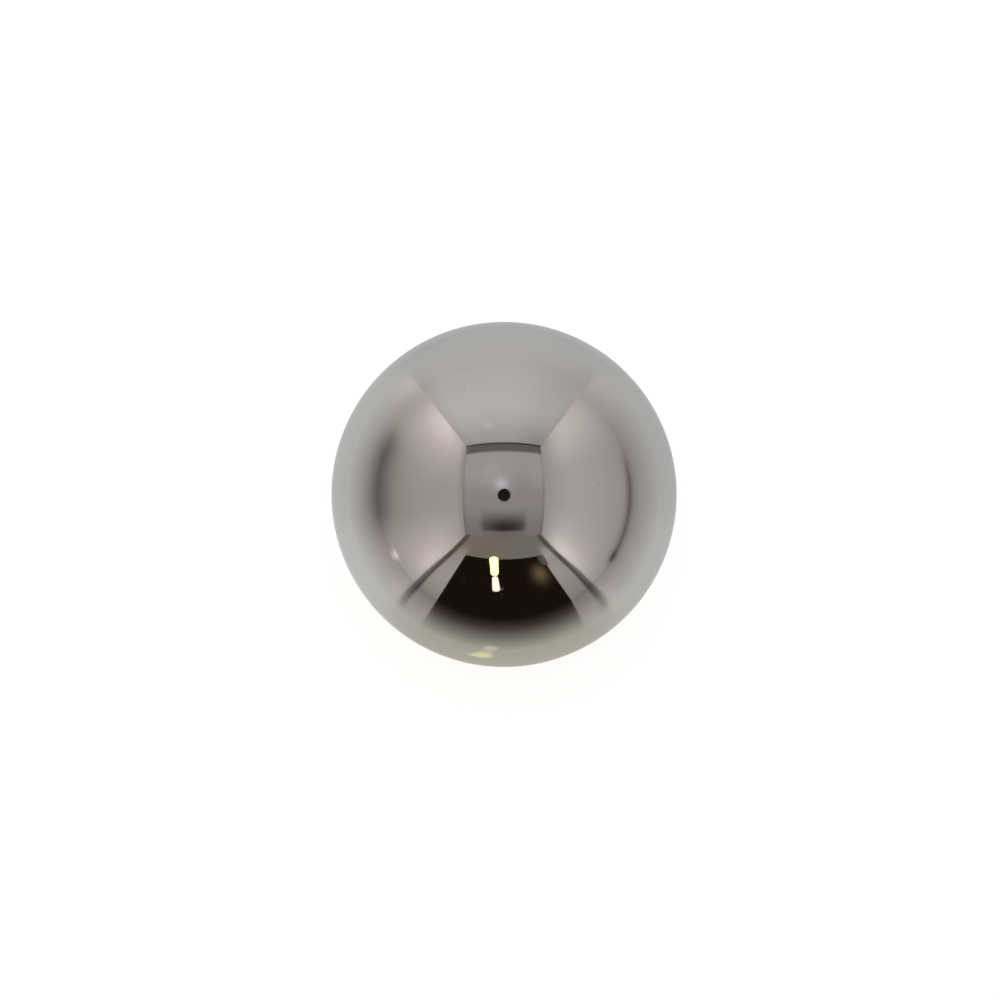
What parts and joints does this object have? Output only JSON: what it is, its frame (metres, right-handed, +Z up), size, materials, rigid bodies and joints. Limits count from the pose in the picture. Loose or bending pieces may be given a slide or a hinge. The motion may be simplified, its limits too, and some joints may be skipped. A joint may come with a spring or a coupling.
{
  "type": "steel ball",
  "caption": "Solid steel ball, ground and lapped to a mirror finish, for a ball race, detent, valve seat or thrust contact.",
  "frame": {"origin": "centre of the ball", "axes": "the ball is the same in every direction; +Z points up from the point it touches the bench on, towards the viewer straight above, and +Y is the top of that view"},
  "size_m": [0.01, 0.01, 0.01],
  "materials": {
    "polished_steel": "ground and lapped to a mirror, bare steel"
  },
  "bodies": {
    "root": {"ball": "polished_steel"}
  },
  "joints": []
}
